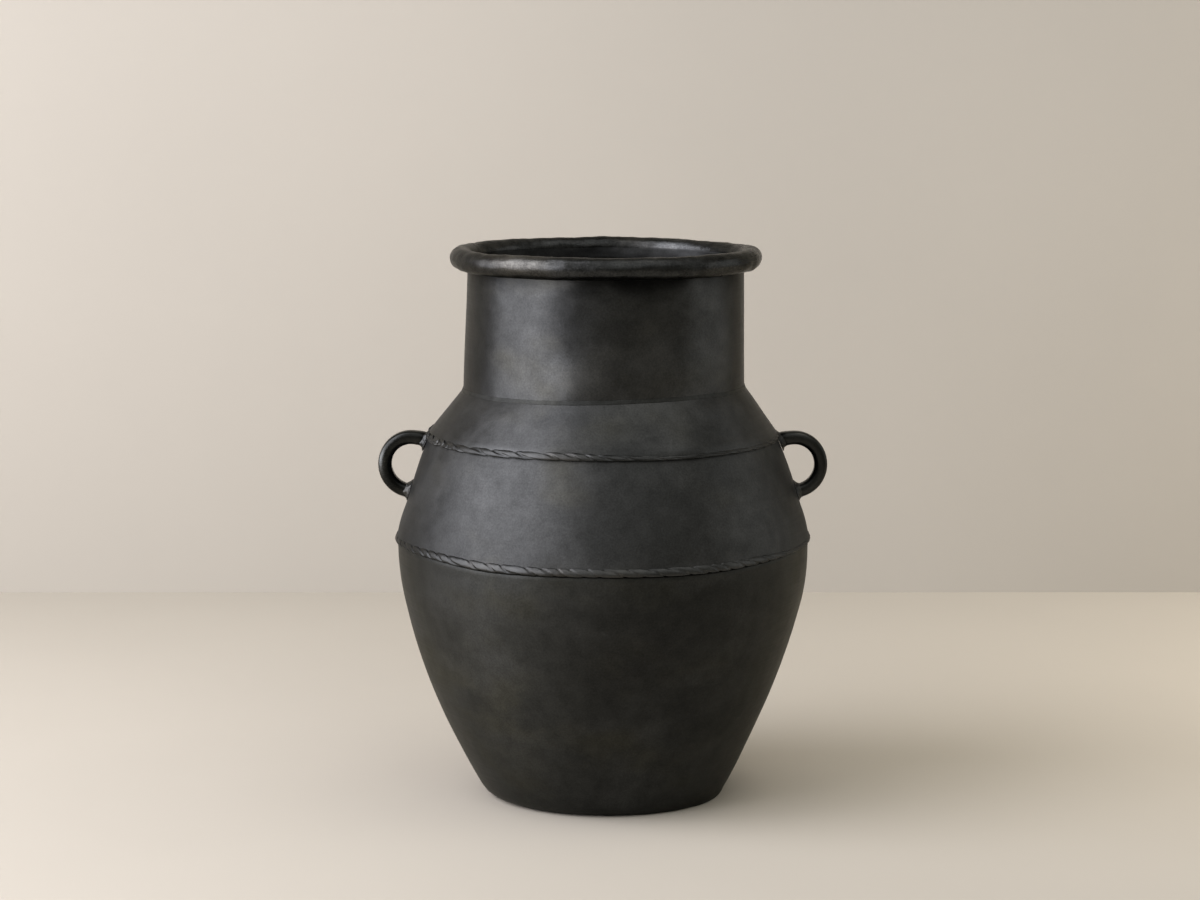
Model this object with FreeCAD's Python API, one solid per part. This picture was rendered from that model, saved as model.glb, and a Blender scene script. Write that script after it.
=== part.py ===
import FreeCAD, Part
import math
import os

from FreeCAD import Vector

# A tall metal floor planter. Spun sheet shells are lapped over each other like roof tiles and welded
# inside, a twisted rope wire covers each outer seam, a slit tube closes the mouth, and two bar
# handles are welded on at the shoulder. The raised base has a drain with a rubber plug.
# Millimetres, +Z up, origin on the floor under the centre of the foot, front towards -Y.

# Sheet metal and fits
sheet = 1.5             # thickness of every spun shell
lap_gap = 0.3           # room between a shell and the one lapped over it
lap_depth = 6.0         # how far a shell reaches up inside the next one
weld_leg = 2.5          # leg of the fillet welds inside the lapped seams
seat_gap = 0.3          # room between a ring of weld or the plate's edge and the round wall it lies on

# Belly shell: a shallow outward arc between the two seams
belly_radius = 256.2    # outside, at its lower edge, the widest ring of the body
lower_seam = 316.8      # height of its lower edge
belly_height = 130.2    # from its lower edge up to the edge of the shoulder's skirt
belly_taper = 41.2      # radius lost over that height
belly_bulge = 3.5       # how far the arc stands off its chord

# Lower bowl: a straight collar, a rounded upper wall, a flatter wall and a rounded foot
collar_height = 12.0
bowl_round = 230.0      # radius of the upper wall
bowl_turn = 14.0        # degrees of the upper wall's arc
foot_slope = 29.0       # degrees that the wall leans out from upright at the foot
foot_round = 24.0
foot_hem = 12.0         # width of the edge turned in flat on the floor

# Shoulder and neck
skirt_length = 9.0      # shoulder's skirt over the belly shell, up to its knuckle
shoulder_rise = 60.5    # from the skirt's edge up to the neck's seam
shoulder_step = 41.6    # radius lost over that rise
neck_length = 161.5     # from its seam up to the middle of the rim's tube
neck_taper = 3.67       # radius lost over that length
neck_weld_leg = 4.0

# Rim: a round tube with a slit that the neck's top edge enters
rim_overhang = 8.6      # tube's centre outside the neck's outer face
rim_tube = 13.4         # outer radius of the tube
rim_wall = 1.5
rim_slit_gap = 0.4
rim_entry = 5.0         # neck's top edge below the tube's centre
rim_slit_room = 2.5     # slit above the neck's top edge
rim_weld_drop = 5.0

# Rope wire over the seams
rope_height = 11.0
rope_proud = 2.5
rope_pitch = 28.0       # along the seam from one strand's crown to the next
rope_groove = 0.42      # depth of the furrow between strands, as a share of the wire's reach
rope_crown = 0.75       # below 1 gives broad crowns and narrow furrows
rope_gap = 0.4          # solder room behind the wire
rope_poles_per_crown = 8
rope_poles_over_front = 9
rope_poles_on_back = 3

# Handles: a rounded bar bent to a loop
handle_drop = 35.7      # loop's centre below the upper seam
handle_standoff = 7.2   # loop's centre outside the belly shell
handle_loop = 33.3      # radius of the loop's centre line
handle_end_room = 0.7   # loop's lower end above the shell's face, before its straight run
handle_thick = 16.5
handle_width = 22.0
handle_corner = 6.0
handle_run_in = 16.0    # straight run into the shell, trimmed to its face
handle_weld_leg = 3.5   # bead round a handle's end, out along the shell
handle_weld_rise = 5.0  # and up along the bar
handle_weld_tip = 1.0   # its thickness there
rope_end_gap = 1.5      # from a handle's bead to the end of the rope wire

# Base plate, drain and plug
base_rise = 24.0        # underside of the plate above the floor, at its flat middle
base_dish = 3.0         # how much higher the plate's edge lies than its middle
base_flat = 34.0        # radius of the flat middle
base_weld_leg = 4.0
drain_radius = 16.0     # bore of the drain's turned-down spout
drain_spout = 9.0       # length of the spout below the plate
drain_bend = 3.0        # inner radius of the bend into the spout
plug_gap = 0.4          # rubber stem to spout, on the radius
plug_flange = 24.0
plug_flange_thick = 4.0
plug_stem_below = 4.0   # stem past the spout's end
plug_draft = 1.0        # radius lost along the stem
plug_knob = 7.0
plug_knob_waist = 4.5
plug_knob_height = 12.0

origin = Vector(0, 0, 0)
up = Vector(0, 0, 1)

# Heights and radii of the seams, each from the one below
upper_seam = lower_seam + belly_height
upper_radius = belly_radius - belly_taper
neck_seam = upper_seam + shoulder_rise
neck_radius = upper_radius - shoulder_step
rim_height = neck_seam + neck_length

# The belly shell's arc, which the bowl's lip and the shoulder's skirt share
chord = math.hypot(belly_taper, belly_height)
belly_arc = (chord ** 2 / 4 + belly_bulge ** 2) / (2 * belly_bulge)
belly_lean = math.atan2(belly_taper, belly_height)
belly_half = math.asin(chord / 2 / belly_arc)
lower_angle = belly_lean - belly_half
upper_angle = belly_lean + belly_half
arc_centre_r = belly_radius - belly_arc * math.cos(lower_angle)
arc_centre_z = lower_seam - belly_arc * math.sin(lower_angle)
skirt_arc = belly_arc + lap_gap + sheet
lip_arc = belly_arc - sheet - lap_gap


def at(radius, height):
    """Point of a profile in the plane of +X and Z."""
    return Vector(radius, 0, height)


def line(a, b):
    return Part.LineSegment(a, b).toShape()


def arc(centre, radius, start, end):
    """Arc of a profile, with angles in radians up from level."""
    angles = (start, (start + end) / 2, end)
    points = [centre + at(radius * math.cos(a), radius * math.sin(a)) for a in angles]
    return Part.Arc(*points).toShape()


def on_belly(radius, angle):
    """Point on a circle round the belly arc's centre."""
    return at(arc_centre_r + radius * math.cos(angle), arc_centre_z + radius * math.sin(angle))


def belly_face(height):
    """Radius of the belly shell's outer face at a height."""
    return arc_centre_r + math.sqrt(belly_arc ** 2 - (height - arc_centre_z) ** 2)


def belly_piece(radius, start, end):
    return arc(at(arc_centre_r, arc_centre_z), radius, start, end)


def turned(face):
    """Solid turned about the planter's axis."""
    return face.revolve(origin, up, 360)


def spun(edges):
    """Sheet shell whose outer face follows the edges, given from the bottom up."""
    return turned(Part.Wire(edges).makeOffset2D(sheet, 2, True, True, False))


def closed(edges):
    return turned(Part.Face(Part.Wire(edges)))


def filled(edges):
    """Solid from the axis out to a profile's edges, given from the bottom up."""
    bottom = edges[0].Vertexes[0].Point
    top = edges[-1].Vertexes[-1].Point
    sides = [line(at(0, bottom.z), bottom), line(top, at(0, top.z)), line(at(0, top.z), at(0, bottom.z))]
    return closed([sides[0]] + edges + sides[1:])


def neck_face(height, gap=0.0):
    """Radius of the neck's outer face, plus a gap, at a height."""
    return neck_radius - neck_taper * (height - neck_seam) / neck_length + gap


# The bowl's wall: three tangent arcs below its collar
turn = math.radians(bowl_turn)
slope = math.radians(foot_slope)
collar_radius = on_belly(lip_arc, lower_angle).x
collar_top = on_belly(lip_arc, lower_angle).z
collar_bottom = lower_seam - collar_height
wall_drop = collar_bottom - bowl_round * math.sin(turn) - foot_round * (1 - math.sin(slope))
wall_round = wall_drop / (math.sin(slope) - math.sin(turn))
upper_centre = at(collar_radius - bowl_round, collar_bottom)
handover = bowl_round - wall_round
wall_centre = upper_centre + at(handover * math.cos(turn), -handover * math.sin(turn))
handover = wall_round - foot_round
foot_centre = wall_centre + at(handover * math.cos(slope), -handover * math.sin(slope))


def bowl_wall(inset):
    """Edges of the bowl's wall from the foot to the collar's top, moved in from its outer face."""
    return [
        arc(foot_centre, foot_round - inset, -math.pi / 2, -slope),
        arc(wall_centre, wall_round - inset, -slope, -turn),
        arc(upper_centre, bowl_round - inset, -turn, 0),
        line(at(collar_radius - inset, collar_bottom), at(collar_radius - inset, collar_top)),
    ]


def wall_radius(height, inset):
    """Radius of the bowl's flatter wall at a height, moved in from its outer face."""
    return wall_centre.x + math.sqrt((wall_round - inset) ** 2 - (height - wall_centre.z) ** 2)


def lower_bowl():
    hem = line(at(foot_centre.x - foot_hem, 0), at(foot_centre.x, 0))
    lip = belly_piece(lip_arc, lower_angle, lower_angle + lap_depth / lip_arc)
    return spun([hem] + bowl_wall(0) + [lip])


def belly_outside():
    return [belly_piece(belly_arc, lower_angle, upper_angle + lap_depth / belly_arc)]


def belly_shell():
    return spun(belly_outside())


def seam_weld(wall_arc, edge_arc, angle):
    """Fillet bead inside a lapped seam, on a shell's top edge and up the inner face of the next shell."""
    wall = wall_arc - seat_gap
    root = on_belly(wall, angle)
    top = on_belly(wall, angle + weld_leg / wall)
    edge = on_belly(edge_arc - sheet, angle)
    return closed([belly_piece(wall, angle, angle + weld_leg / wall), line(top, edge), line(edge, root)])


def shoulder_outside():
    knuckle_angle = upper_angle + skirt_length / skirt_arc
    knuckle = on_belly(skirt_arc, knuckle_angle)
    top = at(neck_face(neck_seam), neck_seam)
    return [belly_piece(skirt_arc, upper_angle, knuckle_angle), line(knuckle, top)]


def neck_core(gap):
    """Everything inside the neck's outer face, widened by a gap."""
    bottom = upper_seam
    top = rim_height
    return filled([line(at(neck_face(bottom, gap), bottom), at(neck_face(top, gap), top))])


def shoulder_cone():
    return spun(shoulder_outside()).cut(neck_core(lap_gap))


def neck_tube():
    bottom = neck_seam - lap_depth
    top = rim_height - rim_entry
    corners = [at(neck_face(z, inset), z) for z, inset in
               ((bottom, 0), (top, 0), (top, -sheet), (bottom, -sheet), (bottom, 0))]
    return closed([line(a, b) for a, b in zip(corners, corners[1:])])


def neck_weld():
    """Bead in the corner between the shoulder and the neck."""
    knuckle = shoulder_outside()[1].Vertexes[0].Point
    corner = at(neck_face(neck_seam, seat_gap), neck_seam)
    downhill = (knuckle - corner).normalize()
    toe = corner + downhill * neck_weld_leg
    high = neck_seam + neck_weld_leg
    top = at(neck_face(high, seat_gap), high)
    return closed([line(corner, toe), line(toe, top), line(top, corner)])


rim_radius = neck_face(rim_height) + rim_overhang
rim_centre = at(rim_radius, rim_height)


def rim_ring():
    outer = Part.makeTorus(rim_radius, rim_tube, rim_centre - at(rim_radius, 0))
    inner = Part.makeTorus(rim_radius, rim_tube - rim_wall, rim_centre - at(rim_radius, 0))
    bottom = rim_height - rim_tube
    high = rim_height - rim_entry + rim_slit_room
    slit_in = -sheet - rim_slit_gap
    slit = closed([
        line(at(neck_face(bottom, slit_in), bottom), at(neck_face(bottom, rim_slit_gap), bottom)),
        line(at(neck_face(bottom, rim_slit_gap), bottom), at(neck_face(high, rim_slit_gap), high)),
        line(at(neck_face(high, rim_slit_gap), high), at(neck_face(high, slit_in), high)),
        line(at(neck_face(high, slit_in), high), at(neck_face(bottom, slit_in), bottom)),
    ])
    return outer.cut(inner).cut(slit)


def rim_weld():
    """Bead outside the slit, between the neck and the underside of the tube."""
    reach = rim_tube + seat_gap
    root_angle = -math.acos((neck_face(rim_height - rim_tube, seat_gap) - rim_radius) / reach)
    toe_angle = (root_angle - math.pi / 2) / 2
    root = rim_centre + at(reach * math.cos(root_angle), reach * math.sin(root_angle))
    toe = rim_centre + at(reach * math.cos(toe_angle), reach * math.sin(toe_angle))
    low = root.z - rim_weld_drop
    foot = at(neck_face(low, seat_gap), low)
    return closed([arc(rim_centre, reach, root_angle, toe_angle), line(toe, foot), line(foot, root)])


def rope_point(face_arc, start, psi, around, twist):
    """Pole of the rope wire's surface: psi round its section, where the strands have turned by a twist."""
    crest = abs(math.cos(psi - twist)) ** rope_crown
    reach = 1 - rope_groove * (1 - crest)
    across = rope_height / 2 * (1 + reach * math.sin(psi))
    proud = rope_gap + rope_proud * max(reach * math.cos(psi), 0)
    p = on_belly(face_arc + proud, start + across / face_arc)
    return Vector(p.x * math.cos(around), p.x * math.sin(around), p.z)


def rope_row(face_arc, start, around, twist):
    """Poles round one section: over the twisted front, then back along the flat face on the shell."""
    front = [math.pi * (k / (rope_poles_over_front - 1) - 0.5) for k in range(rope_poles_over_front)]
    row = [rope_point(face_arc, start, psi, around, twist) for psi in front]
    first, last = row[0], row[-1]
    shares = [(k + 1) / (rope_poles_on_back + 1) for k in range(rope_poles_on_back)]
    return row + [last + (first - last) * share for share in shares]


def even_knots(count):
    return list(range(count + 1)), [1] * (count + 1)


def rope_ring(face_arc, start):
    """Closed rope wire on a shell's face, from an angle on the belly arc upward."""
    seam_length = 2 * math.pi * on_belly(face_arc, start).x
    crowns = 2 * round(seam_length / rope_pitch / 2)
    rows = crowns * rope_poles_per_crown
    turn_step = 2 * math.pi / rows
    twist_step = -math.pi / rope_poles_per_crown
    poles = [rope_row(face_arc, start, turn_step * n, twist_step * n) for n in range(rows)]
    u_knots, u_mults = even_knots(rows)
    v_knots, v_mults = even_knots(len(poles[0]))
    surface = Part.BSplineSurface()
    surface.buildFromPolesMultsKnots(poles, u_mults, v_mults, u_knots, v_knots, True, True, 3, 3)
    return Part.Solid(Part.Shell([surface.toShape()]))


def rope_length(face_arc, start, begin, end):
    """Rope wire along part of a seam, cut off flat at both ends."""
    seam_length = (end - begin) * on_belly(face_arc, start).x
    rows = round(seam_length / rope_pitch) * rope_poles_per_crown + 1
    turn_step = (end - begin) / (rows - 1)
    twist_step = -math.pi / rope_poles_per_crown
    poles = [rope_row(face_arc, start, begin + turn_step * n, twist_step * n) for n in range(rows)]
    u_knots = list(range(rows - 2))
    u_mults = [4] + [1] * (rows - 4) + [4]
    v_knots, v_mults = even_knots(len(poles[0]))
    surface = Part.BSplineSurface()
    surface.buildFromPolesMultsKnots(poles, u_mults, v_mults, u_knots, v_knots, False, True, 3, 3)
    side = surface.toShape()
    ends = [edge for edge in side.Edges if edge.isClosed()]
    caps = [Part.Face(Part.Wire([edge])) for edge in ends]
    skin = Part.Shell([side] + caps)
    skin.sewShape()
    return Part.Solid(skin)


def lower_crossing(centre, radius, face_arc):
    """Lower point where a circle crosses a circle round the belly arc's centre."""
    inward = at(arc_centre_r, arc_centre_z) - centre
    distance = inward.Length
    inward.normalize()
    along = (radius ** 2 - face_arc ** 2 + distance ** 2) / (2 * distance)
    aside = math.sqrt(radius ** 2 - along ** 2)
    return centre + inward * along + at(-inward.z, inward.x) * aside


# Handle loop in the plane of +X and Z, from level at its top round to the shell below
loop_height = upper_seam - handle_drop
loop_centre = at(belly_face(loop_height) + handle_standoff, loop_height)
loop_top = loop_centre + at(0, handle_loop)
loop_end = lower_crossing(loop_centre, handle_loop, belly_arc + handle_end_room)
end_reach = (loop_end - loop_centre).normalize()
end_heading = at(end_reach.z, -end_reach.x)
end_angle = math.atan2(end_reach.z, end_reach.x)


def rounded_bar(centre, heading, grow):
    """Rounded rectangular section of the handle's bar, square to its heading and grown all round."""
    corner = handle_corner + grow
    across = Vector(0, 1, 0)
    outward = across.cross(heading)
    flat_out = outward * (handle_thick / 2 - handle_corner)
    flat_across = across * (handle_width / 2 - handle_corner)
    corners = []
    for n, (out, aside) in enumerate(((1, 1), (-1, 1), (-1, -1), (1, -1))):
        middle = centre + flat_out * out + flat_across * aside
        angles = [math.pi / 2 * n + math.pi / 4 * step for step in range(3)]
        reaches = [outward * math.cos(a) + across * math.sin(a) for a in angles]
        corners.append([middle + reach * corner for reach in reaches])
    edges = []
    for points, after in zip(corners, corners[1:] + corners[:1]):
        edges.append(Part.Arc(*points).toShape())
        edges.append(line(points[-1], after[0]))
    return Part.Wire(edges)


def body_core():
    """Everything inside the outer faces that a handle lands on, with the skirt's own slanted edge."""
    return filled(belly_outside()).multiFuse([filled(shoulder_outside()), spun(shoulder_outside())])


def handle_bar():
    inner_end = loop_top - at(handle_standoff + handle_run_in, 0)
    low_end = loop_end + end_heading * handle_run_in
    path = Part.Wire([
        line(inner_end, loop_top),
        arc(loop_centre, handle_loop, math.pi / 2, end_angle),
        line(loop_end, low_end),
    ])
    return path.makePipeShell([rounded_bar(inner_end, at(1, 0), 0)], True, False)


def right_handle():
    return handle_bar().cut(body_core())


def root_weld(root, heading):
    """Bead round a handle's end, wide on the shell and thin up the bar."""
    wide = rounded_bar(root + heading * handle_weld_leg, heading, handle_weld_leg)
    thin = rounded_bar(root - heading * handle_weld_rise, heading, handle_weld_tip)
    return Part.makeLoft([wide, thin], True, True).cut(handle_bar()).cut(body_core())


def right_handle_upper_weld():
    return root_weld(at(belly_face(loop_top.z), loop_top.z), at(-1, 0))


def right_handle_lower_weld():
    return root_weld(loop_end, end_heading)


def mirrored(shape):
    return shape.mirror(origin, Vector(1, 0, 0))


def upper_rope(begin, end):
    return rope_length(skirt_arc, upper_angle, begin, end)


def base_plate():
    """Dished plate with a spout turned down round the drain, wedged in the bowl's wall."""
    top = base_rise + sheet
    spout_end = base_rise - drain_spout
    bend = drain_bend + sheet
    bend_centre = at(drain_radius + bend, top - bend)
    edge_height = top + base_dish
    edge = at(wall_radius(edge_height, 0), edge_height)
    section = Part.Wire([
        line(at(drain_radius, spout_end), at(drain_radius, bend_centre.z)),
        arc(bend_centre, bend, math.pi, math.pi / 2),
        line(at(bend_centre.x, top), at(base_flat, top)),
        line(at(base_flat, top), edge),
    ]).makeOffset2D(-sheet, 2, True, True, False)
    return turned(section).common(filled(bowl_wall(sheet + seat_gap)))


def base_weld():
    """Bead in the corner between the plate's edge and the bowl's wall."""
    inset = sheet + seat_gap
    wall = wall_round - inset
    edge_height = base_rise + sheet + base_dish
    fall = base_dish / (wall_radius(edge_height, 0) - base_flat)
    low = edge_height - fall * (wall_radius(edge_height, 0) - wall_radius(edge_height, inset))
    high = low + base_weld_leg
    low_angle = math.asin((low - wall_centre.z) / wall)
    high_angle = math.asin((high - wall_centre.z) / wall)
    bead = arc(wall_centre, wall, low_angle, high_angle)
    corner = bead.Vertexes[0].Point
    top = bead.Vertexes[-1].Point
    toe = at(corner.x - base_weld_leg, corner.z - fall * base_weld_leg)
    return closed([line(toe, corner), bead, line(top, toe)])


def drain_plug():
    """Rubber stopper: a flange on the plate, a tapered stem in the spout and a knob to pull."""
    seat = base_rise + sheet
    stem = drain_radius - plug_gap
    stem_end = base_rise - drain_spout - plug_stem_below
    brim = seat + plug_flange_thick
    knob_top = brim + plug_knob_height
    knob_low = knob_top - plug_knob
    outline = [
        at(0, stem_end), at(stem - plug_draft, stem_end), at(stem, seat), at(plug_flange, seat),
        at(plug_flange, brim - plug_draft), at(plug_flange - plug_draft, brim), at(plug_knob_waist, brim),
        at(plug_knob_waist, knob_low), at(plug_knob, knob_low + plug_draft),
        at(plug_knob, knob_top - plug_draft), at(plug_knob - plug_draft, knob_top), at(0, knob_top),
        at(0, stem_end),
    ]
    return closed([line(a, b) for a, b in zip(outline, outline[1:])])


weld_half = handle_width / 2 + handle_weld_leg
rope_start = math.asin((weld_half + rope_end_gap) / upper_radius)
shoulder_lap = upper_angle + lap_depth / belly_arc
pieces = {
    "lower_bowl": lower_bowl(),
    "base_plate": base_plate(),
    "base_weld": base_weld(),
    "drain_plug": drain_plug(),
    "belly_shell": belly_shell(),
    "belly_seam_weld": seam_weld(belly_arc - sheet, lip_arc, lower_angle + lap_depth / lip_arc),
    "lower_rope": rope_ring(belly_arc, lower_angle),
    "shoulder_cone": shoulder_cone(),
    "shoulder_seam_weld": seam_weld(skirt_arc - sheet, belly_arc, shoulder_lap),
    "upper_rope_front": upper_rope(-math.pi + rope_start, -rope_start),
    "upper_rope_back": upper_rope(rope_start, math.pi - rope_start),
    "neck_tube": neck_tube(),
    "neck_weld": neck_weld(),
    "rim_ring": rim_ring(),
    "rim_weld": rim_weld(),
    "right_handle": right_handle(),
    "right_handle_upper_weld": right_handle_upper_weld(),
    "right_handle_lower_weld": right_handle_lower_weld(),
}
for name in ("handle", "handle_upper_weld", "handle_lower_weld"):
    pieces["left_" + name] = mirrored(pieces["right_" + name])

os.makedirs("parts", exist_ok=True)
for name, shape in pieces.items():
    shape.exportStep("parts/" + name + ".step")
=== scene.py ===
import math
import random

import bpy
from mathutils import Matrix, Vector


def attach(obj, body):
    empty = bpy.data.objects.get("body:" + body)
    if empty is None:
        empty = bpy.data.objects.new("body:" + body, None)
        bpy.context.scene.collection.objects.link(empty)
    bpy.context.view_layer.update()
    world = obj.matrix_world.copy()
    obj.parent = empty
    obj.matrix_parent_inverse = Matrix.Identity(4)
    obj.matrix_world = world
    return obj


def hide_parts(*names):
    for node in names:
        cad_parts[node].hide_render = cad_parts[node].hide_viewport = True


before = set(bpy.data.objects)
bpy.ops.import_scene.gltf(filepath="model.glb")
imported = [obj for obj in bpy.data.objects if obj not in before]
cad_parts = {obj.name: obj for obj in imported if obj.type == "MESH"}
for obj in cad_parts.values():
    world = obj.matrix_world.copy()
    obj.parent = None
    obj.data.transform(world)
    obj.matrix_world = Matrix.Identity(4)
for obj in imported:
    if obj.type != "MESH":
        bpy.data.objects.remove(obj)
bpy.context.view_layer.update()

# Lower bowl: one sheet of iron spun over a former, from the hem that is turned in flat on the floor
# up to the lip, stepped in for the belly shell to lap over. Blackened hot and waxed, with a cloudy patina.
mm = 0.001
around = 192              # edges round a shell, chords within 0.04 mm of the circle
outline_step = 6.0        # mm between the rings of a shell
sheet = 1.5
hem_edge = 121.3
foot_centre = (133.3, 24.0)
foot_round = 24.0
wall_foot_angle = -29.0   # degrees at which the foot's round runs into the wall
wall_centre = (-698.3, 485.0)
wall_round = 974.9
wall_top_angle = -14.0    # and the wall into the collar
collar_centre = (24.4, 304.8)
collar_round = 230.0
body_arc_centre = (-397.75, 181.5)   # of the arc that lip, belly and skirt share
lip_round = 666.0
lower_seam_angle = 11.69
lap_angle = 0.52
step_angle = 0.14         # degrees above the seam at which the lip begins


def arc(centre, radius, start, end):
    """Points (radius, height) along an arc of an outline, angles in degrees up from level."""
    turn = math.radians(end - start)
    count = max(2, round(abs(turn) * radius / outline_step))
    angles = [math.radians(start) + turn * n / count for n in range(count + 1)]
    return [(centre[0] + radius * math.cos(a), centre[1] + radius * math.sin(a)) for a in angles]


def straight(start, end):
    """Points (radius, height) along a straight stretch of an outline, without its first one."""
    count = max(1, round(math.dist(start, end) / outline_step))
    shares = [(n + 1) / count for n in range(count)]
    return [(start[0] + (end[0] - start[0]) * s, start[1] + (end[1] - start[1]) * s) for s in shares]


def between(pairs):
    """Function that runs in straight stretches between the given pairs of place and value."""
    def value(place):
        for (low, first), (high, last) in zip(pairs, pairs[1:]):
            if place <= high:
                return first + (last - first) * (place - low) / (high - low)
        return pairs[-1][1]
    return value


# The axis isn't quite straight: how far it stands to the right at each height, both in mm
lean = between(((0, 1.2), (100, -0.6), (250, 0.6), (320, -0.3), (450, -0.8), (510, 1.2), (690, 4.0)))


def new_piece(name):
    """Names the primitive that was just added and puts its place into its mesh."""
    piece = bpy.context.object
    piece.name = piece.data.name = name
    bpy.ops.object.transform_apply(location=True, rotation=True, scale=True)
    return piece


def pick(piece):
    """Makes a piece the active one and the only one selected."""
    bpy.ops.object.select_all(action="DESELECT")
    piece.select_set(True)
    bpy.context.view_layer.objects.active = piece


def open_mesh():
    """Goes into edit mode with the whole mesh of the active piece selected."""
    bpy.ops.object.mode_set(mode="EDIT")
    bpy.ops.mesh.select_all(action="SELECT")


def close_mesh(weld=0.0):
    """Joins points that are nearer than the weld, in mm, turns all faces outwards and leaves edit mode."""
    bpy.ops.mesh.select_all(action="SELECT")
    if weld:
        bpy.ops.mesh.remove_doubles(threshold=weld * mm)
    bpy.ops.mesh.normals_make_consistent(inside=False)
    bpy.ops.object.mode_set(mode="OBJECT")


def apply(piece, kind, **settings):
    """Adds a modifier to the piece and applies it."""
    pick(piece)
    step = piece.modifiers.new(kind.lower(), kind)
    for name, value in settings.items():
        setattr(step, name, value)
    bpy.ops.object.modifier_apply(modifier=step.name)


def ring_wall(name, outline):
    """Open wall round the axis whose face follows the outline, given from the bottom up in mm."""
    bpy.ops.object.select_all(action="DESELECT")
    radius, height = outline[0]
    place = (lean(height) * mm, 0, height * mm)
    bpy.ops.mesh.primitive_circle_add(vertices=around, radius=radius * mm, location=place)
    wall = new_piece(name)
    open_mesh()
    for radius_next, height_next in outline[1:]:
        sideways = lean(height_next) - lean(height)
        step = (sideways * mm, 0, (height_next - height) * mm)
        bpy.ops.mesh.extrude_edges_move(TRANSFORM_OT_translate={"value": step})
        grow = radius_next / radius
        centre = (lean(height_next) * mm, 0, height_next * mm)
        bpy.ops.transform.resize(value=(grow, grow, 1), center_override=centre)
        radius, height = radius_next, height_next
    close_mesh(weld=0.01)
    return wall


def select_points(piece, wanted):
    """Goes into edit mode with only those points selected that the test wants."""
    bpy.ops.object.mode_set(mode="EDIT")
    bpy.ops.mesh.select_all(action="DESELECT")
    bpy.ops.object.mode_set(mode="OBJECT")
    for vertex in piece.data.vertices:
        vertex.select = wanted(vertex.co)
    bpy.ops.object.mode_set(mode="EDIT")


# One slow field of unevenness for all the hand-worked pieces, so that they move together
unevenness = bpy.data.textures.new("hand_work", "CLOUDS")
unevenness.cloud_type = "COLOR"
unevenness.noise_scale = 170 * mm
unevenness.noise_depth = 1
unevenness_reach = 4.0  # mm from the most inward to the most outward, hardly ever reached


def hand_work(piece, held=""):
    """Moves a piece with the field of unevenness, less where the named vertex group is weak."""
    apply(piece, "DISPLACE", texture=unevenness, direction="RGB_TO_XYZ", texture_coords="LOCAL",
          mid_level=0.5, strength=unevenness_reach * mm, vertex_group=held)


def eased(share):
    """Share between 0 and 1 that starts and ends softly."""
    share = min(1.0, max(0.0, share))
    return share * share * (3 - 2 * share)


# Two seams aren't quite level: the lower one climbs towards both sides, and the neck's towards the right
# of the front. Each has its rise, the heights from none to all of it and from all to none, in mm, and its
# share round the axis.
lower_seam_climb = (7.0, (240, 305, 332, 372), lambda angle: eased(2 * abs(math.cos(angle)) - 1))
neck_seam_climb = (5.0, (456, 500, 512, 540), lambda angle: max(0.0, math.cos(angle + math.radians(45))))


def climb(piece, rise, heights, share_round):
    """Moves a piece up with a seam that isn't level."""
    weights = piece.vertex_groups.new(name="climb")
    none_below, all_above, all_below, none_above = [height * mm for height in heights]
    for vertex in piece.data.vertices:
        x, y, z = vertex.co
        from_below = eased((z - none_below) / (all_above - none_below))
        from_above = eased((none_above - z) / (none_above - all_below))
        weights.add([vertex.index], share_round(math.atan2(y, x)) * from_below * from_above, "REPLACE")
    apply(piece, "DISPLACE", direction="Z", mid_level=0.0, strength=rise * mm, vertex_group="climb")


def smooth_shade(piece, angle=40):
    """Shades a piece smooth, apart from edges sharper than the angle in degrees."""
    pick(piece)
    bpy.ops.object.shade_smooth_by_angle(angle=math.radians(angle))


def colour(code):
    """Linear colour of an sRGB hex value."""
    parts = [int(code[n:n + 2], 16) / 255 for n in (1, 3, 5)]
    return [p / 12.92 if p <= 0.04045 else ((p + 0.055) / 1.055) ** 2.4 for p in parts] + [1.0]


def node(tree, kind, sockets=None, **settings):
    """Adds a shader node. Each named socket gets a value or a link from another node's output."""
    made = tree.nodes.new("ShaderNode" + kind)
    for name, value in settings.items():
        setattr(made, name, value)
    for name, value in (sockets or {}).items():
        if isinstance(value, bpy.types.NodeSocket):
            tree.links.new(value, made.inputs[name])
        else:
            made.inputs[name].default_value = value
    return made


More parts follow.
